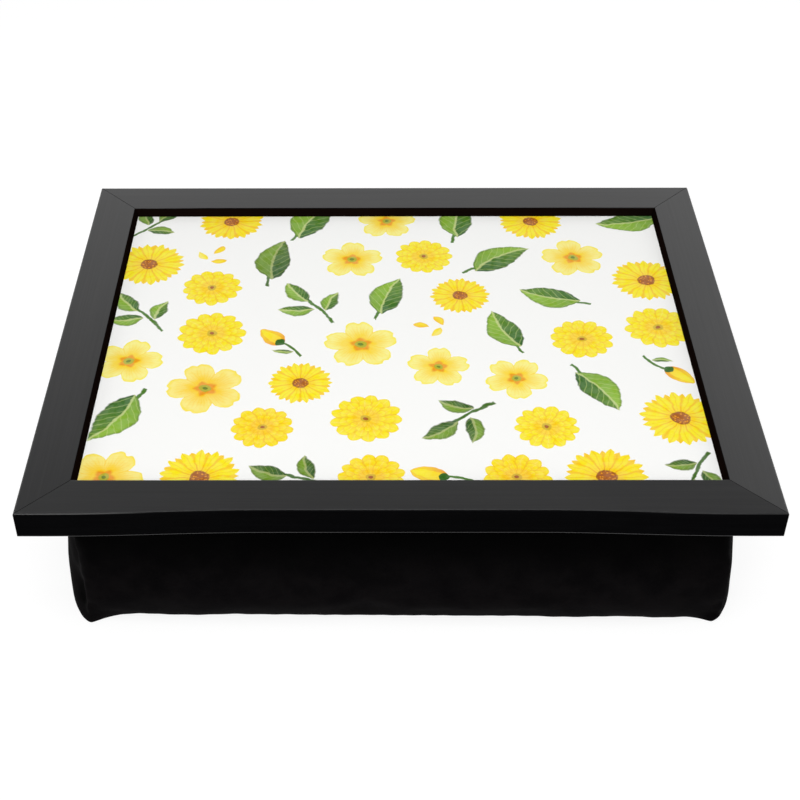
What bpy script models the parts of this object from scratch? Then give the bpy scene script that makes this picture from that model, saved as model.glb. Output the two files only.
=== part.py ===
"""Lap tray for breakfast in bed: a mitred picture-frame tray top on a bead-filled cushion.

Metres, +Z up. The origin is the middle of the face that the tray stands on, the width
runs along X and the sitter is at -Y.

Each of the four sides is modelled as the front one and then turned about Z. A point of a
side is (along, out, z): along runs left to right, out points away from the tray's middle.
"""

import math

import bmesh
import bpy
from mathutils import Matrix

# Frame: four mitred lengths of one moulding
FRAME_WIDTH = 0.430
FRAME_DEPTH = 0.343
RAIL_FACE = 0.028           # top face, outer edge to sight edge
RAIL_WALL = 0.0205          # solid wood outside the rabbet
LIP_DEPTH = 0.0057          # height of the lip that holds the panel down
SIGHT_SLOPE = 0.0020        # how far the sight wall runs in on its way down
TOP_ARRIS = 0.0009          # radius of the outer top edge
SIGHT_ARRIS = 0.0005        # radius of the sight edge
LOWER_ARRIS = 0.0006        # radius of the outer bottom edge
FRONT_BOW = 0.0030          # how hollow the front rail's outer face is along its middle
BOW_FLAT = 0.36             # share of the half length at which the hollow starts to run out
BOW_END = 0.90              # share of the half length at which the face is full again

# Layers in the rabbet, from the lip down
FIT = 0.0003                # gap between pieces that touch
PRINT_THICKNESS = 0.0004
PANEL_THICKNESS = 0.0025
STAPLE_WIRE = 0.0005
FABRIC = 0.0010
BACKING_THICKNESS = 0.0025
POINT_THICKNESS = 0.0005
POINT_COVER = 0.0027        # wood under the framer's points

# V-nails that close the mitres from below
NAIL_HEIGHT = 0.0080
NAIL_WING = 0.0050
NAIL_GAUGE = 0.0008
NAIL_OPENING = math.radians(60)     # between a wing and the mitre
NAIL_PLACES = (0.28, 0.62)          # shares of the wall's width, from the outer corner

# Framer's points, driven through the fabric into the rabbet wall
POINT_WIDTH = 0.0050
POINT_BITE = 0.0060
POINT_REACH = 0.0055        # held over the backing board
POINT_COUNTS = (3, 2)       # on a long side and on a short one

# Hem of the cover, turned over the backing board and stapled
HEM_WIDTH = 0.018
STAPLE_CROWN = 0.010
STAPLE_EDGE = 0.009         # from the board's edge to the staple
STAPLE_COVER = 0.0007       # board left under the legs
STAPLE_COUNTS = (5, 3)      # on a long side and on a short one

# Cushion, from the rails' underside to the table
CUSHION_HEIGHT = 0.0895
SWELL_POWER = 13            # how square the bellies are between the corner seams
BELLY_DROP = 0.0085         # how far down the upper handle of the belly's curve is
FRONT_BELLY = (0.0, 0.0115, 0.0185, -0.0045)    # front and back bellies' handles, out from the rabbet
SIDE_BELLY = (0.0, 0.0017, 0.0130, 0.0080)      # the same for the side bellies
SEAM_X = (0.0, -0.0070, -0.0058, -0.0076)       # corner seam's handles, out from the rabbet
SEAM_Y = (0.0, 0.0015, 0.0072, 0.0045)

# Fineness of the modelled curves
SWELL_STEPS = 20
BELLY_STEPS = 12
BOW_STEPS = 24
ARC_STEPS = 3

SIDE_TURNS = {"front": 0, "right": 90, "back": 180, "left": 270}

# Heights of the layers, up from the table
RAIL_BOTTOM = CUSHION_HEIGHT
POINT_BOTTOM = RAIL_BOTTOM + POINT_COVER
POINT_TOP = POINT_BOTTOM + POINT_THICKNESS
BACKING_BOTTOM = POINT_TOP + FIT
BACKING_TOP = BACKING_BOTTOM + BACKING_THICKNESS
HEM_TOP = BACKING_TOP + FIT + FABRIC
STAPLE_BOTTOM = HEM_TOP + FIT
STAPLE_TOP = STAPLE_BOTTOM + STAPLE_WIRE
PANEL_BOTTOM = STAPLE_TOP + FIT
PANEL_TOP = PANEL_BOTTOM + PANEL_THICKNESS
PRINT_BOTTOM = PANEL_TOP + FIT
PRINT_TOP = PRINT_BOTTOM + PRINT_THICKNESS
LIP_BOTTOM = PRINT_TOP + FIT
FRAME_TOP = LIP_BOTTOM + LIP_DEPTH

# Insets from the frame's outer face
COVER_INSET = RAIL_WALL + FIT
BACKING_INSET = COVER_INSET + FABRIC + FIT

# Half of the gap across a 45 degree joint, measured along the side
MITRE_GAP = FIT / math.sqrt(2)


def clear_scene():
    for old in list(bpy.data.objects):
        bpy.data.objects.remove(old, do_unlink=True)


def make_material(name, colour, roughness, metallic=0.0):
    material = bpy.data.materials.new(name)
    material.use_nodes = True
    shader = material.node_tree.nodes["Principled BSDF"]
    shader.inputs["Base Color"].default_value = (*colour, 1.0)
    shader.inputs["Roughness"].default_value = roughness
    shader.inputs["Metallic"].default_value = metallic
    return material


def loft(name, sections, material, side="front", folded=False, smooth=False):
    """One closed solid through a row of sections with the same number of points.

    The sides are triangles split from near[i] to far[j], so that two solids lofted the
    same way stay apart evenly. Each end is closed by one face or, where the section is
    folded, so that its second half runs back along the first, by a strip between the halves.
    """
    shape = bmesh.new()
    rings = [[shape.verts.new(point) for point in section] for section in sections]
    count = len(rings[0])
    for near, far in zip(rings, rings[1:]):
        for i in range(count):
            j = (i + 1) % count
            shape.faces.new((near[i], near[j], far[j]))
            shape.faces.new((near[i], far[j], far[i]))
    for ring in (rings[0], rings[-1]):
        if folded:
            for i in range(count // 2 - 1):
                shape.faces.new((ring[i], ring[i + 1], ring[-2 - i], ring[-1 - i]))
        else:
            shape.faces.new(ring)
    bmesh.ops.recalc_face_normals(shape, faces=shape.faces)
    mesh = bpy.data.meshes.new(name)
    shape.to_mesh(mesh)
    shape.free()
    if smooth:
        mesh.shade_smooth()
        mesh.set_sharp_from_angle(angle=math.radians(40))
    mesh.materials.append(material)
    solid = bpy.data.objects.new(name, mesh)
    solid.rotation_euler.z = math.radians(SIDE_TURNS[side])
    bpy.context.collection.objects.link(solid)
    return solid


def prism(name, outline, bottom, top, material, side="front"):
    """An upright solid on a plan outline of (x, y) points."""
    sections = [[(x, y, z) for x, y in outline] for z in (bottom, top)]
    return loft(name, sections, material, side)


def rectangle(half_x, half_y, centre_x=0.0, centre_y=0.0):
    corners = ((-1, -1), (1, -1), (1, 1), (-1, 1))
    return [(centre_x + a * half_x, centre_y + b * half_y) for a, b in corners]


def arc(centre_x, centre_y, radius, first_angle, last_angle):
    """Points of a circle's arc, angles in degrees, both ends included."""
    points = []
    for i in range(ARC_STEPS + 1):
        angle = math.radians(first_angle + (last_angle - first_angle) * i / ARC_STEPS)
        points.append((centre_x + radius * math.cos(angle), centre_y + radius * math.sin(angle)))
    return points


def bezier(handles, t):
    """Cubic Bezier value of four numbers at t, from 0 to 1."""
    a, b, c, d = handles
    u = 1 - t
    return a * u ** 3 + 3 * b * u * u * t + 3 * c * u * t * t + d * t ** 3


def half_sizes(side, inset=0.0):
    """Half length of one side and its distance from the middle, less an inset."""
    halves = (FRAME_WIDTH / 2 - inset, FRAME_DEPTH / 2 - inset)
    return halves if side in ("front", "back") else halves[::-1]


def turned(side, along, out):
    """Plan position of a point of a side."""
    angle = math.radians(SIDE_TURNS[side])
    cos, sin = math.cos(angle), math.sin(angle)
    return along * cos + out * sin, along * sin - out * cos


def spread(side, half_along, counts):
    """Centres of a side's fasteners, evenly along it and half a pitch from its ends."""
    count = counts[0] if side in ("front", "back") else counts[1]
    return [2 * half_along * ((i + 0.5) / count - 0.5) for i in range(count)]


def join_cutters(name, solids):
    """Small solids as one hidden cutter, so that one Boolean cuts all of them."""
    shape = bmesh.new()
    for solid in solids:
        solid.data.transform(Matrix.Rotation(solid.rotation_euler.z, 4, "Z"))
        shape.from_mesh(solid.data)
        bpy.data.objects.remove(solid)
    mesh = bpy.data.meshes.new(name)
    shape.to_mesh(mesh)
    shape.free()
    cutter = bpy.data.objects.new(name, mesh)
    cutter.hide_render = True
    cutter.display_type = "WIRE"
    bpy.context.collection.objects.link(cutter)
    return cutter


def cut(solid, cutter):
    boolean = solid.modifiers.new(cutter.name, "BOOLEAN")
    boolean.operation = "DIFFERENCE"
    boolean.solver = "EXACT"
    boolean.object = cutter


# Frame

def rail_profile():
    """The moulding's section as (inward from the outer face, z), from the outer face on."""
    top_arris = arc(TOP_ARRIS, FRAME_TOP - TOP_ARRIS, TOP_ARRIS, 180, 90)
    sight_arris = arc(RAIL_FACE - SIGHT_ARRIS, FRAME_TOP - SIGHT_ARRIS, SIGHT_ARRIS, 90, 0)
    rabbet = [
        (RAIL_FACE + SIGHT_SLOPE, LIP_BOTTOM),
        (RAIL_WALL, LIP_BOTTOM),
        (RAIL_WALL, RAIL_BOTTOM),
    ]
    lower_arris = arc(LOWER_ARRIS, RAIL_BOTTOM + LOWER_ARRIS, LOWER_ARRIS, 270, 180)
    return top_arris + sight_arris + rabbet + lower_arris


def hollow_share(place):
    """How much of the front rail's hollow there is at a place from -1 to 1 along it."""
    run_out = min(1.0, max(0.0, (abs(place) - BOW_FLAT) / (BOW_END - BOW_FLAT)))
    return 1 - run_out * run_out * (3 - 2 * run_out)


def make_rail(side, material):
    """One moulding length between its mitres, its outer face hollowed where it is bowed."""
    half_along, half_out = half_sizes(side)
    bow = FRONT_BOW if side == "front" else 0.0
    steps = BOW_STEPS if bow else 1
    sections = []
    for i in range(steps + 1):
        place = 2 * i / steps - 1
        hollow = bow * hollow_share(place)
        section = []
        for inward, z in rail_profile():
            along = place * (half_along - inward - MITRE_GAP)
            moved = hollow if inward < RAIL_FACE / 2 else 0.0
            section.append((along, inward + moved - half_out, z))
        sections.append(section)
    return loft(side + "_rail", sections, material, side, smooth=True)


def nail_outline(grow):
    """A V-nail in plan, apex at the origin and open towards +X, grown evenly all round."""
    cos, sin = math.cos(NAIL_OPENING), math.sin(NAIL_OPENING)
    apex = -grow / sin
    wing = NAIL_WING + grow * (1 + cos / sin)
    gauge = NAIL_GAUGE + 2 * grow
    tip = (apex + wing * cos, wing * sin)
    inner_tip = (tip[0] + gauge * sin, tip[1] - gauge * cos)
    inner_apex = (apex + gauge / sin, 0.0)
    mirrored = [(x, -y) for x, y in (inner_tip, tip)]
    return [(apex, 0.0), tip, inner_tip, inner_apex] + mirrored


def nail_solids(name, grow, bottom, top, material):
    """Two V-nails across each mitre, open towards the middle of the tray."""
    solids = []
    corners = {"front_left": (-1, -1), "front_right": (1, -1), "back_right": (1, 1), "back_left": (-1, 1)}
    for corner, (sign_x, sign_y) in corners.items():
        inward = math.atan2(-sign_y, -sign_x)
        cos, sin = math.cos(inward), math.sin(inward)
        for number, share in enumerate(NAIL_PLACES, start=1):
            centre_x = sign_x * (FRAME_WIDTH / 2 - share * RAIL_WALL)
            centre_y = sign_y * (FRAME_DEPTH / 2 - share * RAIL_WALL)
            outline = [
                (centre_x + x * cos - y * sin, centre_y + x * sin + y * cos)
                for x, y in nail_outline(grow)
            ]
            solids.append(prism(f"{corner}_{name}_{number}", outline, bottom, top, material))
    return solids


def make_frame(foil, steel):
    rails = {side: make_rail(side, foil) for side in SIDE_TURNS}
    nail_top = RAIL_BOTTOM + NAIL_HEIGHT
    nail_solids("v_nail", 0.0, RAIL_BOTTOM, nail_top, steel)
    slots = nail_solids("slot", FIT, RAIL_BOTTOM - FIT, nail_top + FIT, steel)
    slot_cutter = join_cutters("v_nail_slots", slots)
    for rail in rails.values():
        cut(rail, slot_cutter)
    return rails


# Boards in the rabbet

def make_board(name, inset, bottom, top, material):
    outline = rectangle(FRAME_WIDTH / 2 - inset, FRAME_DEPTH / 2 - inset)
    return prism(name, outline, bottom, top, material)


# Cushion cover

def cover_line(side, place, inset):
    """A strip down one side wall, rabbet to base seam, as (along, out, z) points.

    place runs from -1 to 1 between the corner seams, and inset is the depth under the
    outer surface. The strip blends from the seam's curve at the corners to the belly's
    curve between them.
    """
    half_along, half_out = half_sizes(side, COVER_INSET + inset)
    seam_along, seam_out, belly_out = SEAM_X, SEAM_Y, FRONT_BELLY
    if side in ("left", "right"):
        seam_along, seam_out, belly_out = SEAM_Y, SEAM_X, SIDE_BELLY
    seam_z = (CUSHION_HEIGHT, CUSHION_HEIGHT * 2 / 3, CUSHION_HEIGHT / 3, inset)
    belly_z = (CUSHION_HEIGHT, CUSHION_HEIGHT - BELLY_DROP, inset, inset)
    swell = 1 - abs(place) ** SWELL_POWER
    line = []
    for i in range(BELLY_STEPS + 1):
        t = i / BELLY_STEPS
        along = place * (half_along + bezier(seam_along, t))
        out = half_out + (1 - swell) * bezier(seam_out, t) + swell * bezier(belly_out, t)
        z = (1 - swell) * bezier(seam_z, t) + swell * bezier(belly_z, t)
        line.append((along, out, z))
    return line


def swell_places():
    """Places from -1 to 1 along a side, closer together near the corner seams."""
    return [math.sin(math.pi * (i / SWELL_STEPS - 0.5)) for i in range(SWELL_STEPS + 1)]


def cover_rings(inset):
    """Plan loops round the four walls, from the rabbet down to the base seam."""
    lines = []
    for side in SIDE_TURNS:
        for place in swell_places()[:-1]:
            line = cover_line(side, place, inset)
            lines.append([(*turned(side, along, out), z) for along, out, z in line])
    return list(zip(*lines))


def at_height(ring, height):
    return [(x, y, height) for x, y, z in ring]


def make_wall(side, velour):
    """A side wall with the hem that turns over the backing board, mitred at its corners."""
    half_along, half_out = half_sizes(side, COVER_INSET)
    sections = []
    for place in swell_places():
        surfaces = []
        for inset in (0.0, FABRIC):
            hem_edge = (place * (half_along - HEM_WIDTH), half_out - HEM_WIDTH, HEM_TOP - inset)
            fold = (place * (half_along - inset), half_out - inset, HEM_TOP - inset)
            surfaces.append([hem_edge, fold] + cover_line(side, place, inset))
        outside, inside = surfaces
        loop = outside + inside[::-1]
        sections.append([(along - place * MITRE_GAP, -out, z) for along, out, z in loop])
    return loft(f"cushion_{side}_wall", sections, velour, side, folded=True, smooth=True)


def make_base(velour):
    """The flat bottom piece of the cover, inside the walls' base seam."""
    seam_gap = 2 * MITRE_GAP
    outside = at_height(cover_rings(seam_gap)[-1], 0.0)
    inside = at_height(cover_rings(seam_gap + FABRIC)[-1], FABRIC)
    return loft("cushion_base", [outside, inside], velour)


def make_fill(beads):
    """The beads as one body that fills the cover up to the framer's points.

    It is lofted upwards, as the inside of each wall is.
    """
    rings = cover_rings(FABRIC + FIT)
    top = at_height(rings[0], POINT_BOTTOM - FIT)
    return loft("bead_fill", rings[::-1] + [top], beads, smooth=True)


# Fasteners of the cushion

def make_staples(steel):
    """Staples through the hem into the backing board, and the cutter for their legs."""
    half_crown = STAPLE_CROWN / 2
    inner = half_crown - STAPLE_WIRE
    leg_end = BACKING_BOTTOM + STAPLE_COVER
    hook = [
        (-half_crown, leg_end), (-half_crown, STAPLE_TOP), (half_crown, STAPLE_TOP), (half_crown, leg_end),
        (inner, leg_end), (inner, STAPLE_BOTTOM), (-inner, STAPLE_BOTTOM), (-inner, leg_end),
    ]
    hole_half = STAPLE_WIRE / 2 + FIT
    holes = []
    for side in SIDE_TURNS:
        half_along, half_out = half_sizes(side, BACKING_INSET)
        out = half_out - STAPLE_EDGE
        for number, centre in enumerate(spread(side, half_along, STAPLE_COUNTS), start=1):
            sections = [
                [(centre + x, depth - out, z) for x, z in hook]
                for depth in (-STAPLE_WIRE / 2, STAPLE_WIRE / 2)
            ]
            loft(f"{side}_staple_{number}", sections, steel, side)
            for leg in (-half_crown + STAPLE_WIRE / 2, half_crown - STAPLE_WIRE / 2):
                outline = rectangle(hole_half, hole_half, centre + leg, -out)
                holes.append(prism("hole", outline, leg_end - FIT, HEM_TOP + FIT, steel, side))
    return join_cutters("staple_holes", holes)


def make_points(steel):
    """Flat points that hold the backing board up, and the cutter for their slots."""
    half = POINT_WIDTH / 2
    slots = []
    for side in SIDE_TURNS:
        half_along, half_out = half_sizes(side, RAIL_WALL)
        heel = half_out - POINT_REACH
        tip = half_out + POINT_BITE
        for number, centre in enumerate(spread(side, half_along, POINT_COUNTS), start=1):
            outline = [
                (centre - half, -heel), (centre - half, half - tip), (centre, -tip),
                (centre + half, half - tip), (centre + half, -heel),
            ]
            prism(f"{side}_point_{number}", outline, POINT_BOTTOM, POINT_TOP, steel, side)
            slot_middle = -(heel + tip) / 2
            slot = rectangle(half + FIT, (tip - heel) / 2 + FIT, centre, slot_middle)
            slots.append(prism("slot", slot, POINT_BOTTOM - FIT, POINT_TOP + FIT, steel, side))
    return join_cutters("point_slots", slots)


def build_tray():
    clear_scene()
    foil = make_material("black_foil_wrap", (0.045, 0.045, 0.047), 0.42)
    laminate = make_material("print_laminate", (0.93, 0.93, 0.90), 0.35)
    fibreboard = make_material("fibreboard", (0.42, 0.29, 0.17), 0.85)
    hardboard = make_material("hardboard", (0.30, 0.19, 0.11), 0.75)
    steel = make_material("zinc_plated_steel", (0.62, 0.62, 0.60), 0.35, metallic=1.0)
    velour = make_material("black_velour", (0.012, 0.012, 0.013), 0.95)
    beads = make_material("polystyrene_beads", (0.92, 0.92, 0.92), 0.80)

    rails = make_frame(foil, steel)
    make_board("print_sheet", COVER_INSET, PRINT_BOTTOM, PRINT_TOP, laminate)
    make_board("panel_board", COVER_INSET, PANEL_BOTTOM, PANEL_TOP, fibreboard)
    backing = make_board("backing_board", BACKING_INSET, BACKING_BOTTOM, BACKING_TOP, hardboard)

    walls = {side: make_wall(side, velour) for side in SIDE_TURNS}
    make_base(velour)
    make_fill(beads)

    staple_holes = make_staples(steel)
    point_slots = make_points(steel)
    cut(backing, staple_holes)
    for side in SIDE_TURNS:
        cut(walls[side], staple_holes)
        cut(walls[side], point_slots)
        cut(rails[side], point_slots)


build_tray()
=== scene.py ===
import math
from functools import partialmethod

import bpy
import numpy as np
from mathutils import Matrix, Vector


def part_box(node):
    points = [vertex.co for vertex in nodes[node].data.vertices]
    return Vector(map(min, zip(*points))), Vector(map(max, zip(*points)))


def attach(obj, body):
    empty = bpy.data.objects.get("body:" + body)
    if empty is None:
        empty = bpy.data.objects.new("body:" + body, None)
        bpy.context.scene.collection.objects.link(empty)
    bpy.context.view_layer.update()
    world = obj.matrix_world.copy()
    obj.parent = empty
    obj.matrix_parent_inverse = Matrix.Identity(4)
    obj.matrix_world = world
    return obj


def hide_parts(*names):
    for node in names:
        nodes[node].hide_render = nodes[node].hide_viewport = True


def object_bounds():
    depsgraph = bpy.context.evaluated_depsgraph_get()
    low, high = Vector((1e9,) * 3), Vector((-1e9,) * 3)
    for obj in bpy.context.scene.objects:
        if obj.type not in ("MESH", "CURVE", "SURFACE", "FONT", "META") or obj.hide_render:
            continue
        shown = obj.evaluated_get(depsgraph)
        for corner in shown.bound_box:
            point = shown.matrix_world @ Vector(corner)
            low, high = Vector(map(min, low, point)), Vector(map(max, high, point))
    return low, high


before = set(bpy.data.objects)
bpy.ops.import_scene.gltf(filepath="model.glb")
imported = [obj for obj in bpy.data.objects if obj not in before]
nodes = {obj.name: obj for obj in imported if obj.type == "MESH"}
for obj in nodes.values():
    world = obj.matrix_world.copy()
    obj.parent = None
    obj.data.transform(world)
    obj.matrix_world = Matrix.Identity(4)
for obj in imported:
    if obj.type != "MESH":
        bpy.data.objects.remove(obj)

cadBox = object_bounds()
print("packed tray loaded,", len(nodes), "nodes")


# Driving sizes from the frame, in metres

def rounded(corner):
    # A corner of a CAD box, to a thousandth of a millimetre
    return [round(v, 6) for v in corner]


halfWidth, halfDepth, frameTop = rounded(cadBox[1])
foldHeight = rounded(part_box("front_rail")[0])[2]  # the cover comes out under the rails
hemHeight = rounded(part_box("cushion_front_wall")[1])[2]  # and its hem lies on the backing board


# Camera, at the photograph's place: metres, degrees, and the lens in millimetres

camera = {
    "place": (-0.01331, -0.74909, 0.66917),
    "heading": -0.373,
    "down": 39.709,
    "roll": 0.285,
    "lens": 65.366,
    "sensor": 36.0,
    "shift": (0.0388, -0.0005),
    "clip": (0.05, 50.0),
}


def newObject(name, data):
    # A new object in the scene, at the origin
    made = bpy.data.objects.new(name, data)
    bpy.context.scene.collection.objects.link(made)
    return made


def makeCamera(values):
    # The view axis is heading round Z, then down below the horizon; roll turns the picture about it
    heading, down, roll = (math.radians(values[key]) for key in ("heading", "down", "roll"))
    ahead = np.array([
        math.sin(heading) * math.cos(down), math.cos(heading) * math.cos(down), -math.sin(down),
    ])
    level = np.array([math.cos(heading), -math.sin(heading), 0.0])
    below = np.cross(ahead, level)
    right = level * math.cos(roll) + below * math.sin(roll)
    under = below * math.cos(roll) - level * math.sin(roll)
    data = bpy.data.cameras.new("trayCamera")
    data.lens = values["lens"]
    data.sensor_width = values["sensor"]
    data.shift_x, data.shift_y = values["shift"]
    data.clip_start, data.clip_end = values["clip"]
    made = newObject("trayCamera", data)
    turn = Matrix(np.column_stack((right, -under, -ahead)).tolist()).to_4x4()
    made.matrix_world = Matrix.Translation(values["place"]) @ turn
    bpy.context.scene.camera = made


makeCamera(camera)
print("camera placed")


# Node helpers

mixPlaces, mixResult = (0, 6, 7), 2  # the Mix node's share, its two colours, and its result
plainWhite = (1.0, 1.0, 1.0, 1.0)


def feed(socket, value):
    # Puts a wire, a number or a colour into a socket
    if isinstance(value, wire):
        socket.id_data.links.new(value.socket, socket)
    else:
        socket.default_value = value


def feedAll(node, inputs):
    # Feeds a node's inputs by their names
    for name, value in inputs.items():
        feed(node.inputs[name], value)


class wire:
    # One output in a node tree, so that a pattern can be written as a formula
    def __init__(self, socket):
        self.socket = socket

    def then(self, operation, *others):
        # This output and the others, through one Math node
        made = self.socket.id_data.nodes.new("ShaderNodeMath")
        made.operation = operation
        for place, value in zip(made.inputs, (self, *others)):
            feed(place, value)
        return wire(made.outputs[0])

    __add__ = partialmethod(then, "ADD")
    __sub__ = partialmethod(then, "SUBTRACT")
    __mul__ = partialmethod(then, "MULTIPLY")
    __truediv__ = partialmethod(then, "DIVIDE")
    __pow__ = partialmethod(then, "POWER")
    __abs__ = partialmethod(then, "ABSOLUTE")
    __neg__ = partialmethod(then, "MULTIPLY", -1.0)

    def __rsub__(self, other):
        return (-self).then("ADD", other)


def addNode(tree, kind, inputs=None, **settings):
    # A new node of this kind, with its settings, and with its inputs fed by name
    made = tree.nodes.new(kind)
    for name, value in settings.items():
        setattr(made, name, value)
    feedAll(made, inputs or {})
    return made


def rise(value, low, high):
    # 0 below low, 1 above high, smooth between them
    made = addNode(
        value.socket.id_data, "ShaderNodeMapRange",
        {"Value": value, "From Min": low, "From Max": high}, interpolation_type="SMOOTHSTEP",
    )
    return wire(made.outputs["Result"])


def fall(value, low, high):
    # 1 below low, 0 above high, smooth between them
    return 1.0 - rise(value, low, high)


def between(share, low, high):
    # Low where the share is 0, high where it is 1, in a straight line
    return share * (high - low) + low


def mixed(mask, under, over, blend="MIX"):
    # Colour over laid on colour under, or multiplied with it, by a mask
    tree = next(value for value in (mask, under, over) if isinstance(value, wire)).socket.id_data
    made = addNode(tree, "ShaderNodeMix", data_type="RGBA", blend_type=blend)
    for place, value in zip(mixPlaces, (mask, under, over)):
        feed(made.inputs[place], value)
    return wire(made.outputs[mixResult])


def tint(code):
    # A screen colour in six hexadecimal digits as linear numbers: straight up to 0.04045, then a power
    levels = [int(code[i:i + 2], 16) / 255 for i in (0, 2, 4)]
    return tuple(v / 12.92 if v <= 0.04045 else ((v + 0.055) / 1.055) ** 2.4 for v in levels) + (1.0,)


def grey(level):
    # One number as a grey colour
    inputs = {"Red": level, "Green": level, "Blue": level}
    return wire(addNode(level.socket.id_data, "ShaderNodeCombineColor", inputs).outputs[0])


def coordinates(tree, kind):
    # Where a point is or which way it faces: Object, Normal or Generated
    return wire(addNode(tree, "ShaderNodeTexCoord").outputs[kind])


def objectPlace(tree, stretch=(1.0, 1.0, 1.0)):
    # Place on the piece, in metres, stretched along its axes
    inputs = {"Vector": coordinates(tree, "Object"), "Scale": stretch}
    return wire(addNode(tree, "ShaderNodeMapping", inputs).outputs[0])


def meshNumber(tree, name):
    # A number that the mesh holds at each point or face
    return wire(addNode(tree, "ShaderNodeAttribute", attribute_name=name).outputs["Fac"])


def parted(vector):
    # The three numbers of a vector
    made = addNode(vector.socket.id_data, "ShaderNodeSeparateXYZ", {"Vector": vector})
    return [wire(output) for output in made.outputs]


def joined(x, y):
    # Two numbers as a flat vector
    return wire(addNode(x.socket.id_data, "ShaderNodeCombineXYZ", {"X": x, "Y": y}).outputs[0])


def speckle(place, scale, detail=2.0, rough=0.5):
    # Smooth noise from 0 to 1: lumps per unit of place, layers of finer lumps, and their strength
    made = addNode(
        place.socket.id_data, "ShaderNodeTexNoise",
        {"Vector": place, "Scale": scale, "Detail": detail, "Roughness": rough},
    )
    return wire(made.outputs[0])


def raised(height, distance, strength, **normal):
    # The surface's normal, tilted by a height that runs over this many metres
    inputs = {"Height": height, "Distance": distance, "Strength": strength, **normal}
    return wire(addNode(height.socket.id_data, "ShaderNodeBump", inputs).outputs[0])


def newMaterial(name):
    # An empty material, its tree and its shader
    material = bpy.data.materials.new(name)
    material.use_nodes = True
    return material, material.node_tree, material.node_tree.nodes["Principled BSDF"]


def giveMaterial(names, material):
    # Puts a material on CAD nodes
    for name in names:
        for held in nodes[name].material_slots:
            held.material = material


# Rails: wooden moulding wrapped in satin black foil

foil = {
    # Painted light and shade: the same foil is given a lighter colour on the top face and a darker one on
    # the upright outer faces
    "top": "19191A",
    "sides": "09090A",
    "sight": "0F0806",
    "paintedLightSlope": (0.45, 0.95),  # slopes over which the sides' painted shade turns into the top's painted light; 1 faces up
    "roughness": (0.82, 0.88),  # by the grain
    "grainAlong": 9.0,  # per metre
    "grainAcross": 900.0,
    "grainHeight": 0.000012,  # metres
    "grainMask": (0.30, 0.72),
    "grainShade": (0.88, 1.12),
    "cloudScale": 22.0,  # per metre
    "cloudMask": (0.35, 0.75),
    "cloudShade": (0.93, 1.07),
    "sightInset": 0.0268,  # metres in from the outer faces, where the sight faces begin
    "sightDrop": 0.0004,  # and below the top
    "coat": 1.0,  # satin lacquer on the top face and the rounded edges
    "coatSlope": (0.80, 0.98),  # slopes over which it sets in above
    "coatBelow": (0.03, 0.25),  # and on what looks down
    "coatShareBelow": 0.85,
    "coatGrain": (0.90, 1.06),
    "coatRoughness": 0.31,
    "coatIor": 1.74,
    "wornEnds": 0.33,  # how far the lacquer runs over the arris near the ends of the long rails
    "wornFrom": (0.10, 0.19),  # metres to either side of the middle, over which this sets in
    "thinRight": 0.42,  # lacquer missing at the front rail's right end
    "thinFrom": (0.05, 0.19),  # metres to the right, over which this sets in
    "thinSlope": (0.93, 0.99),
}


def foilMaterial(name, alongX):
    # Fine lengthwise grain. Painted light and shade: the colour is lighter on the top face and darker on
    # the upright outer faces, by the slope of the surface. The lacquer lies on the top face and on what
    # looks down, by the slope of the surface; the upright outer and sight faces are dead matt. Near the
    # ends of the long rails it runs further over the arris, and it is thin at the front rail's right end.
    material, tree, shader = newMaterial(name)
    along, across = foil["grainAlong"], foil["grainAcross"]
    grainPlace = objectPlace(tree, (along, across, across) if alongX else (across, along, across))
    grain = speckle(grainPlace, 1.0, detail=4.0, rough=0.6)
    cloudy = speckle(objectPlace(tree), foil["cloudScale"], detail=3.0, rough=0.6)
    slope = parted(coordinates(tree, "Normal"))[2]
    x, y, z = parted(objectPlace(tree))
    wornEnds, thinRight = (foil["wornEnds"], foil["thinRight"]) if alongX else (0.0, 0.0)
    worn = rise(abs(x), *foil["wornFrom"]) * wornEnds
    start, full = foil["coatSlope"]
    level = rise(slope, start - worn, full) + rise(-slope, *foil["coatBelow"]) * foil["coatShareBelow"]
    atFront = y.then("LESS_THAN", 0.0)
    thin = rise(x, *foil["thinFrom"]) * atFront * rise(slope, *foil["thinSlope"]) * thinRight
    withinX = abs(x).then("LESS_THAN", halfWidth - foil["sightInset"])
    withinY = abs(y).then("LESS_THAN", halfDepth - foil["sightInset"])
    inside = withinX * withinY * z.then("LESS_THAN", frameTop - foil["sightDrop"])
    sides = mixed(inside, tint(foil["sides"]), tint(foil["sight"]))
    # Painted light and shade: the top's lighter colour laid over the upright faces' darker one, by slope
    colour = mixed(rise(slope, *foil["paintedLightSlope"]), sides, tint(foil["top"]))
    streak = between(rise(grain, *foil["grainMask"]), *foil["grainShade"])
    cloud = between(rise(cloudy, *foil["cloudMask"]), *foil["cloudShade"])
    bump = raised(grain, foil["grainHeight"], strength=0.6)
    lacquer = level * (1.0 - inside) * (1.0 - thin) * between(grain, *foil["coatGrain"]) * foil["coat"]
    feedAll(shader, {
        "Base Color": mixed(1.0, colour, grey(streak * cloud), "MULTIPLY"),
        "Roughness": between(grain, *foil["roughness"]), "Specular IOR Level": 0.0,
        "Coat Weight": lacquer, "Coat Roughness": foil["coatRoughness"], "Coat IOR": foil["coatIor"],
        "Normal": bump, "Coat Normal": bump,
    })
    return material


giveMaterial(["front_rail", "back_rail"], foilMaterial("blackFoilAlongX", True))
giveMaterial(["left_rail", "right_rail"], foilMaterial("blackFoilAlongY", False))
print("foil put on the rails")


# Boards, fasteners

boards = {
    # material, darker and lighter brown, fibres per metre
    "panel_board": ("pressedFibreboard", "8A6A48", "A58460", 1500.0),
    "backing_board": ("hardboard", "4A3121", "6B4A32", 900.0),
}

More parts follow.
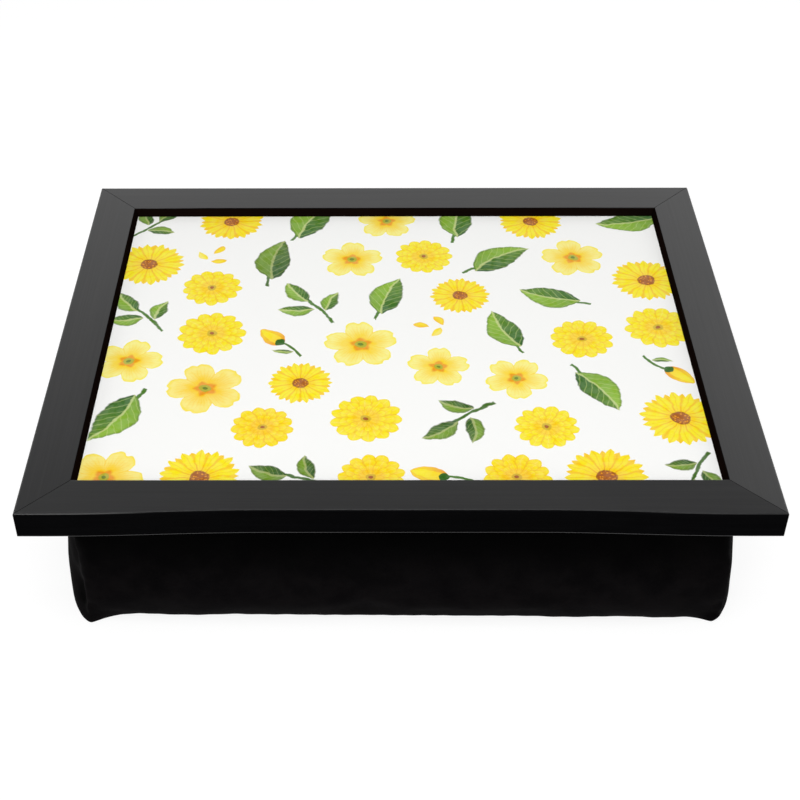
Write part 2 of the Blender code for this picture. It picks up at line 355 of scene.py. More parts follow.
fibres = {
    "flatness": 3.0,  # how much thinner than wide they lie
    "patch": 25,  # fibres across a lighter or darker patch
    "fineShare": 0.7, "mask": (0.35, 0.65),
    "roughness": (0.72, 0.92), "height": 0.00008,
}

steel = {
    "dark": "A9ACAE", "pale": "CDCFCE",
    "mottleScale": 700.0, "mottleMask": (0.3, 0.7),
    "drawing": (60.0, 60.0, 3000.0),  # lines per metre, along each axis
    "roughness": (0.26, 0.46), "height": 0.00002,
}


def boardMaterial(name, dark, pale, scale):
    # Pressed fibres: two browns mixed by a fine speckle over a broad one
    material, tree, shader = newMaterial(name)
    place = objectPlace(tree, (1.0, 1.0, fibres["flatness"]))
    fine, broad = speckle(place, scale, detail=5.0, rough=0.7), speckle(place, scale / fibres["patch"])
    mask = rise(fine * fibres["fineShare"] + broad * (1.0 - fibres["fineShare"]), *fibres["mask"])
    feedAll(shader, {
        "Base Color": mixed(mask, tint(dark), tint(pale)),
        "Roughness": between(fine, *fibres["roughness"]),
        "Normal": raised(fine, fibres["height"], strength=0.7),
    })
    return material


def steelMaterial(name, values):
    # Zinc plate: bluish grey with a slight mottle and drawing lines
    material, tree, shader = newMaterial(name)
    mottle = speckle(objectPlace(tree), values["mottleScale"], detail=3.0)
    lines = speckle(objectPlace(tree, values["drawing"]), 1.0)
    mask = rise(mottle, *values["mottleMask"])
    feedAll(shader, {
        "Base Color": mixed(mask, tint(values["dark"]), tint(values["pale"])),
        "Metallic": 1.0, "Roughness": between(mottle, *values["roughness"]),
        "Normal": raised(lines, values["height"], strength=0.5),
    })
    return material


for board, look in boards.items():
    giveMaterial([board], boardMaterial(*look))
fasteners = [name for name in nodes if any(kind in name for kind in ("_staple_", "_point_", "_v_nail_"))]
giveMaterial(fasteners, steelMaterial("zincPlatedSteel", steel))
print("boards and fasteners coated")


# Printed sheet: flowers and leaves scattered over white laminate

sheetPrint = {
    "seed": 40,
    "motifs": {  # how many, and half width in metres
        "daisy": (9, 0.0232), "fullFlower": (10, 0.0222), "fivePetals": (9, 0.0232),
        "leaf": (10, 0.0285), "sprig": (6, 0.0270), "bud": (3, 0.0212), "loosePetals": (2, 0.0165),
    },
    "flowerKinds": 3,  # the first three are round
    "narrow": 0.80,  # room that the others need, against a round one of their size
    "spread": 0.12,  # share by which sizes differ
    "room": (1.6, 1.04),  # clear space round a motif as a share of its size, at first and at last
    "pushes": 900,  # steps in which they are pushed apart
    "pushShare": 0.2,  # share of an overlap that one step undoes
    "middles": (0.170, 0.135),  # metres, how far out a motif's middle may be
    "cell": 0.0040,  # metres, the sheet's grid
    "daisyPetals": 14.0,
    "fullPetals": 13.0,
    "fullRings": (0.97, 0.77, 0.56, 0.36),
    "white": "FCFCFA",
    "bright": "FFF012", "golden": "FFD90C", "amber": "F2A208", "cream": "FFF690",
    "leafLight": "9CCA38", "leafDark": "2B6615", "leafDeep": "0F350A", "stem": "477A1C",
    "vein": "C9DB8A", "midrib": "D3E09A",
    "heart": "A85C12", "heartRim": "8A5212",
    "eyeYellow": "D9B81E", "eyeGreen": "B7B92E", "eyeDark": "6F8A22",
    # Washes: strength and tint. Flowers differ by the warm one, leaves by the shade.
    "warm": (0.45, (1.0, 0.84, 0.60, 1.0)), "shade": (0.8, (0.62, 0.62, 0.55, 1.0)),
    "watery": (0.26, (1.0, 0.90, 0.45, 1.0)), "line": (0.18, (0.86, 0.80, 0.60, 1.0)),
    "wateryScale": 190.0, "washedOut": 0.06,
    "lineSpacing": 0.0015, "lineScale": 60.0, "lineWaver": 5.0,  # metres, lumps per metre, radians
    "rippleScale": 130.0, "ripple": 0.14,  # wavering of outlines, in half widths
    "peelScale": 700.0, "peelHeight": 0.00001,
    "roughness": (0.36, 0.44), "inkGloss": 0.03, "specular": 0.16,
}

leafInks = ("leafDark", "leafLight", "leafDeep")


def scattered(values):
    # Seeded places, pushed apart in steps until each motif has its room. Each row of the result is
    # kind, tone, x, y, turn, half width.
    rng = np.random.default_rng(values["seed"])
    counts, sizes = zip(*values["motifs"].values())
    kinds = rng.permutation(np.repeat(np.arange(len(counts)), counts))
    count = len(kinds)
    size = np.array(sizes)[kinds] * (1 + values["spread"] * rng.uniform(-1, 1, count))
    half = np.array(values["middles"])
    place = rng.uniform(-1, 1, (count, 2)) * half
    alone = 1 - np.eye(count)
    reach = np.where(kinds >= values["flowerKinds"], values["narrow"], 1.0) * size
    for room in np.linspace(*values["room"], values["pushes"]):
        off = place[:, None] - place[None]
        gap = np.linalg.norm(off, axis=2) + np.eye(count)
        push = np.clip((reach[:, None] + reach[None]) * room - gap, 0, None) * alone
        place += (off / gap[..., None] * push[..., None]).sum(1) * values["pushShare"]
        place = np.clip(place, -half, half)
    tone = rng.uniform(-1, 1, count)
    turn = rng.uniform(-math.pi, math.pi, count)
    return np.column_stack([kinds, tone, place, turn, size])


def slab(low, high, cell):
    # A grid of square cells on top, the same grid below, and a band round the edge
    counts = [round((high[k] - low[k]) / cell) for k in (0, 1)]
    gridX, gridY = np.meshgrid(*(np.linspace(low[k], high[k], counts[k] + 1) for k in (0, 1)))
    flat = np.stack([gridX.ravel(), gridY.ravel()], 1)
    verts = np.concatenate([np.column_stack([flat, np.full(len(flat), z)]) for z in (high[2], low[2])])
    index = np.arange(len(flat)).reshape(gridX.shape)
    top = np.stack([index[:-1, :-1], index[:-1, 1:], index[1:, 1:], index[1:, :-1]], -1).reshape(-1, 4)
    edge = np.concatenate([index[0, :-1], index[:-1, -1], index[-1, :0:-1], index[:0:-1, 0]])
    after = np.roll(edge, -1)
    band = np.stack([edge, edge + len(flat), after + len(flat), after], -1)
    return verts, np.concatenate([top, top[:, ::-1] + len(flat), band]), len(top)


def makeSheet(values):
    # Each top cell belongs to the motif that is nearest for its size
    low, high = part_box("print_sheet")
    verts, faces, topCount = slab(low, high, values["cell"])
    motifs = scattered(values)
    middles = verts[faces[:topCount], :2].mean(1)
    away = np.linalg.norm(middles[:, None] - motifs[None, :, 2:4], axis=2) / motifs[:, 5]
    kind, tone, middleX, middleY, turn, width = motifs[away.argmin(1)].T[:, :, None]
    # Its corners' own coordinates: the motif's middle is 0 and its half width is 1
    corners = verts[faces[:topCount]]
    offX, offY = corners[:, :, 0] - middleX, corners[:, :, 1] - middleY
    outside = 9.0  # half widths away, where nothing is printed
    places = np.full((len(faces), 4, 2), outside)
    places[:topCount, :, 0] = (offX * np.cos(turn) + offY * np.sin(turn)) / width
    places[:topCount, :, 1] = (offY * np.cos(turn) - offX * np.sin(turn)) / width
    mesh = bpy.data.meshes.new("printed_sheet")
    mesh.from_pydata(verts.tolist(), [], faces.tolist())
    layer = mesh.uv_layers.new(name="motifPlace")
    layer.data.foreach_set("uv", places.ravel())
    for name, found in (("motifKind", kind), ("motifTone", tone)):
        held = np.zeros(len(faces))
        held[:topCount] = found[:, 0]
        mesh.attributes.new(name, "FLOAT", "FACE").data.foreach_set("value", held)
    return newObject("printed_sheet", mesh)


# Motifs. u and v are a place in the motif, in half widths, and so are the sizes in what follows.

def polar(u, v):
    # Distance from the middle, and the turn about it from -0.5 to 0.5
    return (u * u + v * v) ** 0.5, v.then("ARCTAN2", u) * (0.5 / math.pi)


def petalShare(turn, count, shift=0.0):
    # 0 on a petal's middle line and 1 on the line between two petals
    return abs((turn * count + shift).then("FRACT") - 0.5) * 2.0


def turnedPlace(u, v, middleU, middleV, degrees):
    # The same place, seen from a part of the motif with its own middle and turn
    cos, sin = math.cos(math.radians(degrees)), math.sin(math.radians(degrees))
    return (u - middleU) * cos + (v - middleV) * sin, (v - middleV) * cos - (u - middleU) * sin


def tinted(under, mask, name):
    # One of the print's named inks over a colour, by a mask
    return mixed(mask, under, tint(sheetPrint[name]))


def shadedPetal(spot, low, high, inner, outer):
    # An inner ink that turns into an outer one between two shares of a petal's length
    return tinted(tint(sheetPrint[inner]), rise(spot, low, high), outer)


class inking:
    # Lays masks and colours over one another
    def __init__(self, tree, white, kind):
        self.tree, self.colour, self.kind = tree, white, kind
        self.inked = self.here = None

    def start(self, number):
        # The kinds are whole numbers, so anything well under 1 tells them apart
        self.here = self.kind.then("COMPARE", float(number), 0.4)

    def lay(self, mask, colour):
        # The motif's own cells only; what has ink so far is kept for the washes
        shown = mask * self.here
        self.colour = mixed(shown, self.colour, colour)
        self.inked = shown if self.inked is None else self.inked.then("MAXIMUM", shown)

    def dot(self, radius, low, high, name):
        # A round spot of a named ink in the middle
        self.lay(fall(radius, low, high), tint(sheetPrint[name]))


def lensLeaf(ink, u, v, length, width, colours, veins=True):
    # A pointed lens: half width falls with the square of the distance along, fuller at the stalk end,
    # and the leaf bends sideways as a parabola. Veins are a slanted comb on both sides of the midrib.
    sideways, fuller, soft, rim = 0.16, 0.28, 0.045, 0.12
    along = (u / length).then("MINIMUM", 1.2)
    bent = v + (along * along - 0.4) * (sideways * length)
    half = (1.0 - along * along) * (1.0 - along * fuller) * width
    off = abs(bent)
    mask = rise(half - off, 0.0, soft)
    dark, light, deep = (tint(sheetPrint[name]) for name in colours)
    side = rise(bent, -0.03, 0.03) * 0.55 + rise(along, -1.0, 1.0) * 0.3
    body = mixed(side, dark, light)
    body = mixed(fall(half - off, 0.0, rim) * 0.5, body, deep)
    if veins:
        comb = ((along * 0.95 - off / width * 0.5) * 4.2).then("FRACT")
        vein = fall(abs(comb - 0.5), 0.03, 0.12)
        body = tinted(body, vein * 0.35, "vein")
        body = tinted(body, fall(off, 0.012, 0.04) * 0.7, "midrib")
    ink.lay(mask, body)


def stalk(ink, u, v, start, end, bend, thick=0.022):
    # A line from start to end along u, bent sideways as a parabola
    middle, half, soft = (start + end) / 2, (end - start) / 2, 0.03
    spot = (u - middle) / half
    beside = abs(v - (1.0 - spot * spot) * bend)
    mask = fall(beside, thick, thick + soft) * fall(abs(spot), 0.96, 1.02)
    ink.lay(mask, tint(sheetPrint["stem"]))


def daisy(ink, u, v):
    # Two rows of narrow petals, each a share of the circle that closes at its tip, round a dotted heart
    radius, turn = polar(u, v)
    foot, soft = 0.14, 0.16
    for shift, reach, inner, outer in ((0.5, 0.92, "amber", "golden"), (0.0, 0.98, "golden", "bright")):
        share = petalShare(turn, sheetPrint["daisyPetals"], shift)
        spot = (radius - foot) / (reach - foot)
        half = (1.0 - spot ** 5.0) * 0.95
        body = shadedPetal(spot, 0.0, 0.55, inner, outer)
        body = tinted(body, fall(share, 0.0, soft) * 0.30, "amber")
        body = tinted(body, rise(share, 0.60, 0.95) * 0.30, "amber")
        ink.lay(rise(half - share, 0.0, soft), body)
    dots = addNode(ink.tree, "ShaderNodeTexVoronoi", {"Vector": joined(u, v), "Scale": 15.0})
    core = shadedPetal(wire(dots.outputs["Distance"]), 0.15, 0.55, "amber", "heart")
    core = tinted(core, rise(radius, 0.13, 0.25) * 0.5, "heartRim")
    ink.lay(fall(radius, 0.215, 0.25), core)


def fullFlower(ink, u, v):
    # Four rings of overlapping round petals; each ring's rim falls off between petals
    radius, turn = polar(u, v)
    for ring, reach in enumerate(sheetPrint["fullRings"]):
        share = petalShare(turn, sheetPrint["fullPetals"] - 2.0 * (ring % 2), 0.5 * ring)
        rim = (1.0 - share * share * 0.15) * reach
        body = shadedPetal(radius / rim, 0.60, 0.92, "golden", "bright" if ring < 3 else "golden")
        body = tinted(body, rise(share, 0.70, 1.0) * 0.45, "amber")
        body = tinted(body, fall(rim - radius, 0.0, 0.05) * 0.45, "amber")
        body = tinted(body, fall(share, 0.0, 0.14) * 0.35, "cream")
        ink.lay(rise(rim - radius, 0.0, 0.03), body)
    ink.dot(radius, 0.12, 0.16, "eyeYellow")
    ink.dot(radius, 0.05, 0.08, "heart")


def fivePetals(ink, u, v):
    # Five broad petals with a notch in each rim, pale towards it, with fine lines out of a green eye
    radius, turn = polar(u, v)
    petals, lineRate = 5.0, 282.7  # some 45 lines, in radians per turn
    share = petalShare(turn, petals, 0.2)
    rim = 0.97 - share ** 2.6 * 0.36 - fall(share, 0.0, 0.22) * 0.07
    spot = radius / rim
    body = shadedPetal(spot, 0.20, 0.85, "golden", "cream")
    lines = rise((turn * lineRate).then("SINE"), 0.2, 0.9)
    body = tinted(body, lines * fall(spot, 0.50, 0.98) * 0.40, "golden")
    body = tinted(body, rise(spot, 0.86, 0.99) * 0.85, "bright")
    body = tinted(body, rise(share, 0.84, 1.0) * 0.6, "golden")
    ink.lay(rise(rim - radius, 0.0, 0.035), body)
    ink.dot(radius + share * 0.10, 0.24, 0.34, "amber")
    ink.dot(radius, 0.12, 0.16, "eyeGreen")
    ink.dot(radius, 0.05, 0.07, "eyeDark")


def leaf(ink, u, v):
    # One leaf on a short stalk
    stalk(ink, u, v, -1.0, -0.5, 0.02)
    lensLeaf(ink, u - 0.1, v, 0.84, 0.43, leafInks)


def sprig(ink, u, v):
    # A stalk with three leaves: middle, turn in degrees, length and width of each
    stalk(ink, u, v, -0.95, 0.45, -0.05)
    for middleU, middleV, degrees, length, width in (
        (0.50, 0.0, -4.0, 0.47, 0.25), (-0.04, 0.40, 52.0, 0.43, 0.22), (-0.24, -0.41, -58.0, 0.40, 0.21),
    ):
        lensLeaf(ink, *turnedPlace(u, v, middleU, middleV, degrees), length, width, leafInks)


def bud(ink, u, v):
    # A drop of two layers of petals in a green cup, on a stalk with one small leaf
    soft = 0.035  # edge
    stalk(ink, u, v, -0.98, 0.10, -0.10, thick=0.03)
    lensLeaf(ink, *turnedPlace(u, v, -0.38, 0.24, 38.0), 0.38, 0.13, leafInks)
    along = (u - 0.42) / 0.54
    half = (1.0 - along * along) ** 0.6 * (1.0 - along * 0.22) * 0.33
    for share, inner, outer in ((1.0, "amber", "golden"), (0.62, "golden", "bright")):
        edge = half * share - abs(v)
        body = shadedPetal(along, -0.9, 0.5, inner, outer)
        ink.lay(rise(edge, 0.0, soft), tinted(body, fall(edge, 0.0, 0.07) * 0.6, "amber"))
    cup = (u - 0.02) / 0.17
    ink.lay(rise((1.0 - cup * cup) * 0.2 - abs(v), 0.0, soft), tint(sheetPrint["leafDark"]))


def loosePetals(ink, u, v):
    # Three fallen petals: middle, turn in degrees and inks of each
    for middleU, middleV, degrees, colours in (
        (-0.42, 0.32, 35.0, ("golden", "bright", "amber")),
        (0.42, 0.28, -30.0, ("bright", "cream", "golden")),
        (0.0, -0.42, 80.0, ("golden", "bright", "amber")),
    ):
        lensLeaf(ink, *turnedPlace(u, v, middleU, middleV, degrees), 0.38, 0.20, colours, veins=False)


def washed(colour, mask, wash):
    # A colour multiplied by a wash's tint, by a mask and the wash's strength
    strength, over = wash
    return mixed(mask * strength, colour, over, "MULTIPLY")


def printMaterial(values):
    # The motifs with slightly wavering outlines, then watery ink: broad and fine mottling, a warmer
    # or darker tone for each motif, and fine printed lines
    material, tree, shader = newMaterial("printedLaminate")
    place = objectPlace(tree)
    rippleInputs = {"Vector": place, "Scale": values["rippleScale"], "Detail": 2.0}
    ripple = parted(wire(addNode(tree, "ShaderNodeTexNoise", rippleInputs).outputs["Color"]))
    spots = parted(wire(addNode(tree, "ShaderNodeUVMap", uv_map="motifPlace").outputs[0]))
    u, v = [spots[k] + (ripple[k] - 0.5) * values["ripple"] for k in (0, 1)]
    kind, tone = meshNumber(tree, "motifKind"), meshNumber(tree, "motifTone")
    ink = inking(tree, tint(values["white"]), kind)
    for number, draw in enumerate((daisy, fullFlower, fivePetals, leaf, sprig, bud, loosePetals)):
        ink.start(number)
        draw(ink, u, v)

    leafKind, sprigKind = (float(list(values["motifs"]).index(name)) for name in ("leaf", "sprig"))
    flowers = 1.0 - kind.then("COMPARE", leafKind, 0.4) - kind.then("COMPARE", sprigKind, 0.4)
    toned = ink.inked * rise(tone, 0.1, 1.0)
    colour = washed(ink.colour, toned * flowers, values["warm"])
    colour = washed(colour, toned * (1.0 - flowers), values["shade"])
    broad = rise(speckle(place, values["wateryScale"], detail=3.0, rough=0.6), 0.35, 0.7)
    colour = washed(colour, ink.inked * broad, values["watery"])
    colour = mixed(ink.inked * (1.0 - broad) * values["washedOut"], colour, plainWhite)
    phase = parted(place)[1] * (2 * math.pi / values["lineSpacing"])
    waver = speckle(place, values["lineScale"]) * values["lineWaver"]
    lines = (phase + waver).then("SINE") * 0.5 + 0.5
    colour = washed(colour, ink.inked * lines, values["line"])
    peel = speckle(place, values["peelScale"], detail=1.0)
    feedAll(shader, {
        "Base Color": colour,
        "Roughness": between(peel, *values["roughness"]) - ink.inked * values["inkGloss"],
        "Specular IOR Level": values["specular"],
        "Normal": raised(peel, values["peelHeight"], strength=0.3),
    })
    return material


printedSheet = makeSheet(sheetPrint)
printedSheet.data.materials.append(printMaterial(sheetPrint))
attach(printedSheet, "root")
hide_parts("print_sheet")
print("sheet printed:", len(printedSheet.data.polygons), "faces")


# Cushion cover: sewn velour, blown up by its beads. Sizes in metres.

cushion = {
    "inset": 0.0208,  # cover's fold, in from the frame's outer faces
    "hemWidth": 0.018,
    "foldRound": 0.0006,  # how closely hem and wall come to the fold
    # Handles of the curves, from the fold down to the flat: how far outside the fold they run
    "frontBelly": (0.0, 0.0115, 0.0185, -0.0045), "sideBelly": (0.0, 0.0008, 0.0123, 0.0066),
    "seamX": (0.0, -0.0070, -0.0058, -0.0076), "seamY": (0.0, 0.0015, 0.0072, 0.0045),
    "bellyDrop": 0.0085,  # height of the belly's second handle, below the fold
    "swellPower": 13.0,  # the higher it is, the nearer to a seam the belly reaches
    "cell": 0.0062,  # usual spacing of the cloth's points
    "seamCell": 0.0016,  # spacing beside a seam
    "cellGrowth": 1.45,  # each step away from it against the one before
    "wallRows": 26,
    "rowShift": 0.12,  # how much closer the rows lie towards the flat
    "thickness": 0.0010,
    "slackRight": 0.0042,  # beads settled to the right
    "slackFront": (0.0001, 0.0022, 0.0012),  # and forwards: evenly, by place from left to right, its square
    "slackPower": 1.5, "earPower": 3,  # how late these set in on the way down
    "leftEar": (-0.0006, -0.0030), "rightEar": (0.0002, 0.0018), "earReach": 0.024,
    "rightSeam": 0.0062,  # the front right seam, pushed out between its ends
    "seamReach": (0.016, 0.006),  # how far this reaches along the front and right walls
    "seamPush": (0.45, 1.3, 8),  # share of the way down, sharpness above and below
    "cloth": {  # Blender's own names for the simulation's settings; it grows by what shrink_min says
        "quality": 6, "mass": 0.25, "tension_stiffness": 12.0, "compression_stiffness": 12.0,
        "shear_stiffness": 4.0, "bending_stiffness": 0.4,
        "use_pressure": True, "uniform_pressure_force": 3.0, "shrink_min": -0.025,
    },
    "frames": 20,
    "looseRim": 4,  # cells round the flat that may lift
    "moveMost": 0.0060, "evenRounds": 70,  # how widely the swelling is evened out
    "foldsFull": 0.030, "foldShares": (0.25, 0.85),  # folds grow up to this height: least and most
    "seam": (0.0009, 0.0018, 0.01),  # depth, width, and length over which it sets in
    "pucker": (0.0006, 0.011, 0.010, 67),  # height, length, reach, and phase of its waver
    "basePucker": (0.0003, 0.0143, 0.008),  # height, length and reach along the flat's seam
    "baseAway": (0.006, 0.004),  # distance from it, and where they die out
    "free": (0.02, 0.006),  # all these die out towards the fold and the flat
    "pinch": (0.0022, 0.0075, 0.0055, 0.35),  # hollows: depth, distance from a seam, width, least
    "pinches": ((0.34, 0.16, 1.0), (0.78, 0.13, 1.6)),  # share of the way down, width, depth
}

hemRows = 3  # rows of points in the hem, before the row on the fold


def bezier(handles, t):
    # The cubic curve from the first handle to the last, drawn towards the two between them
    first, second, third, last = handles
    rest = 1 - t
    return first * rest ** 3 + 3 * second * rest * rest * t + 3 * third * rest * t * t + last * t ** 3


def bell(distance, width):
    # 1 at no distance, falling off to both sides as a bell curve
    return np.exp(-(distance / width) ** 2)


def ramp(distance, full):
    # 0 at no distance, 1 from the full distance on, straight between them
    return np.clip(distance / full, 0, 1)


def seamSpacing(length, values):
    # Shares from 0 to 1: steps grow away from both seams until they reach the usual cell
    steps = [values["seamCell"]]
    while steps[-1] * values["cellGrowth"] < values["cell"]:
        steps.append(steps[-1] * values["cellGrowth"])
    middle = length - 2 * sum(steps)
    count = round(middle / values["cell"])
    steps = np.array(steps + [middle / count] * count + steps[::-1])
    return np.concatenate(([0], np.cumsum(steps))) / length


def coverSide(side, values, downShares):
    # One side wall as a grid: rows run down from the hem's free edge, columns along the side.
    # The wall blends from the corner seam's curve to the belly's curve by a high power of the place along.
    halfX, halfY = halfWidth - values["inset"], halfDepth - values["inset"]
    halfAlong, halfOut = (halfX, halfY) if side % 2 == 0 else (halfY, halfX)
    seamAlong, seamOut, belly = values["seamX"], values["seamY"], values["frontBelly"]
    if side % 2:
        seamAlong, seamOut, belly = values["seamY"], values["seamX"], values["sideBelly"]
    place = seamSpacing(2 * halfAlong, values)[None, :-1] * 2 - 1
    t = downShares[:, None]
    swell = 1 - np.abs(place) ** values["swellPower"]
    along = place * (halfAlong + bezier(seamAlong, t))
    out = halfOut + (1 - swell) * bezier(seamOut, t) + swell * bezier(belly, t)
    seamZ = (foldHeight, foldHeight * 2 / 3, foldHeight / 3, 0.0)
    bellyZ = (foldHeight, foldHeight - values["bellyDrop"], 0.0, 0.0)
    z = (1 - swell) * bezier(seamZ, t) + swell * bezier(bellyZ, t)
    if side < 2:
        # Beads press the front right seam outwards, by a bell curve of the distance from it
        fromSeam = (1 - place if side == 0 else 1 + place) * halfAlong
        full, above, below = values["seamPush"]
        push = values["rightSeam"] * ramp(t, full) ** above * (1 - t ** below)
        push = push * bell(fromSeam, values["seamReach"][side])
        along, out = (along + push, out) if side == 0 else (along, out + push)
    hem = []
    for inward in (values["hemWidth"], values["hemWidth"] / 2, values["foldRound"]):
        row = (place * (halfAlong - inward), halfOut - inward + 0 * place, hemHeight + 0 * place)
        hem.append(np.stack(row, -1))
    grid = np.concatenate([*hem, np.stack([along, out, z], -1)])
    turn = side * math.pi / 2
    x = grid[..., 0] * math.cos(turn) + grid[..., 1] * math.sin(turn)
    y = grid[..., 0] * math.sin(turn) - grid[..., 1] * math.cos(turn)
    return np.stack([x, y, grid[..., 2]], -1)


def coverGrid(values):
    # Four walls joined into one ring of columns, and the base as a net stretched between its four seams
    t = np.linspace(0, 1, values["wallRows"] + 1)
    down = t + values["rowShift"] * np.sin(math.pi * t) * t
    sides = [coverSide(side, values, down) for side in range(4)]
    ring = np.concatenate(sides, axis=1)
    rows, columns = ring.shape[:2]
    starts = np.concatenate(([0], np.cumsum([side.shape[1] for side in sides])))
    front, right, back, left = (
        np.arange(starts[k], starts[k + 1] + 1) % columns + (rows - 1) * columns for k in range(4)
    )
    back, left = back[::-1], left[::-1]
    points = ring.reshape(-1, 3)
    # Coons patch: straight mixes between opposite seams, less the mix of the four corners
    u = np.linspace(0, 1, len(front))[None, :, None]
    v = np.linspace(0, 1, len(left))[:, None, None]
    frontLine, backLine = points[front][None], points[back][None]
    leftLine, rightLine = points[left][:, None], points[right][:, None]
    frontMix = (1 - u) * frontLine[:, :1] + u * frontLine[:, -1:]
    backMix = (1 - u) * backLine[:, :1] + u * backLine[:, -1:]
    patch = (1 - v) * frontLine + v * backLine + (1 - u) * leftLine + u * rightLine
    patch = patch - ((1 - v) * frontMix + v * backMix)
    inner = patch[1:-1, 1:-1]
    net = np.zeros((len(left), len(front)), int)
    net[0], net[-1], net[:, 0], net[:, -1] = front, back, left, right
    net[1:-1, 1:-1] = len(points) + np.arange(inner.shape[0] * inner.shape[1]).reshape(inner.shape[:2])
    points = np.concatenate([points, inner.reshape(-1, 3)])
    index = np.arange(rows * columns).reshape(rows, columns)
    near, far = index[:-1], index[1:]
    wallFaces = np.stack([near, far, np.roll(far, -1, 1), np.roll(near, -1, 1)], -1).reshape(-1, 4)
    baseFaces = np.stack([net[:-1, :-1], net[1:, :-1], net[1:, 1:], net[:-1, 1:]], -1).reshape(-1, 4)
    return points, np.concatenate([wallFaces, baseFaces]), (rows, columns), starts, net


def settled(points, values):
    # Beads lie a little heavier to the right: the low part moves right and forwards there, and the
    # two front ears spread by a bell curve of the distance from their corner
    low = np.clip(1 - points[:, 2] / foldHeight, 0, 1)
    share = points[:, 0] / halfWidth
    toFront = np.clip(-points[:, 1] / halfDepth, 0, 1)
    even, sloped, curved = values["slackFront"]
    slack = low ** values["slackPower"]
    moved = points.copy()
    moved[:, 0] += values["slackRight"] * np.clip(share, 0, 1) * slack
    moved[:, 1] -= (even + sloped * share + curved * share * share) * toFront * slack
    for side, ear in ((-1, values["leftEar"]), (1, values["rightEar"])):
        corner = np.array([side * (halfWidth - values["inset"]), values["inset"] - halfDepth])
        near = bell(np.linalg.norm(points[:, :2] - corner, axis=1), values["earReach"])
        moved[:, :2] += near[:, None] * np.array(ear) * low[:, None] ** values["earPower"]
    return moved


def evened(amount, faces, rounds):
    # Each point takes half of its neighbours' mean, again and again
    edges = np.concatenate([faces[:, [k, (k + 1) % 4]] for k in range(4)])
    point, neighbour = edges.T
    count = np.bincount(point, minlength=len(amount))[:, None]
    for _ in range(rounds):
        total = np.stack([np.bincount(point, amount[neighbour, k], len(amount)) for k in range(3)], 1)
        amount = (amount + total / count) / 2
    return amount


def blownUp(cover, points, faces, pinned, values):
    # Cloth under pressure, with no weight, and its swelling cut off at moveMost. The even part of the
    # swelling is already in the drawn form, so only the folds are kept.
    held = cover.vertex_groups.new(name="held")
    held.add(pinned.tolist(), 1.0, "REPLACE")
    cloth = cover.modifiers.new("blown", "CLOTH")
    for name, value in values["cloth"].items():
        setattr(cloth.settings, name, value)
    cloth.settings.vertex_group_mass = "held"
    cloth.settings.effector_weights.gravity = 0.0
    cloth.collision_settings.use_collision = False
    cloth.point_cache.frame_start, cloth.point_cache.frame_end = 1, values["frames"]
    for number in range(1, values["frames"] + 1):
        bpy.context.scene.frame_set(number)
    shaped = cover.evaluated_get(bpy.context.evaluated_depsgraph_get()).data
    result = np.zeros(len(shaped.vertices) * 3, np.float32)
    shaped.vertices.foreach_get("co", result)
    cover.modifiers.remove(cloth)
    bpy.context.scene.frame_set(1)
    cover.vertex_groups.clear()
    moved = result.reshape(-1, 3).astype(float) - points
    length = np.linalg.norm(moved, axis=1, keepdims=True)
    moved *= np.minimum(1, values["moveMost"] / np.maximum(length, 1e-9))
    print("cushion swelled by", round(float(np.percentile(length, 90)) * 1000, 1), "mm")
    folds = moved - evened(moved, faces, values["evenRounds"])
    folds *= np.clip(points[:, 2:] / values["foldsFull"], *values["foldShares"])
    folds[pinned] = 0
    return points + evened(folds, faces, 1)


def seamDistances(ring, starts):
    # Distances along the cloth: to the nearest corner seam, down from the fold, up from the flat,
    # and round the ring from its first column
    rows, columns = ring.shape[:2]
    gap = np.linalg.norm(np.roll(ring, -1, 1) - ring, axis=2)
    fromSeam = np.full((rows, columns), np.inf)
    for start in starts[:-1]:
        ahead = np.roll(gap, -start, 1)
        away = np.concatenate([np.zeros((rows, 1)), np.cumsum(ahead, 1)[:, :-1]], 1)
        back = np.sum(ahead, 1, keepdims=True) - away
        fromSeam = np.minimum(fromSeam, np.roll(np.minimum(away, back), start, 1))
    step = np.linalg.norm(np.diff(ring, axis=0), axis=2)
    fromBase = np.concatenate([np.cumsum(step[::-1], 0)[::-1], np.zeros((1, columns))])
    fromTop = np.concatenate([np.zeros((1, columns)), np.cumsum(step, 0)])
    return fromSeam, np.maximum(fromTop - fromTop[hemRows], 0), fromBase, np.cumsum(gap, 1)


def waves(distance, length, waver, rate, phase=0):
    # A sine along a distance, whose own phase wavers by a second, slower sine
    return np.sin(2 * math.pi * distance / length + waver * np.sin(phase + distance * rate))


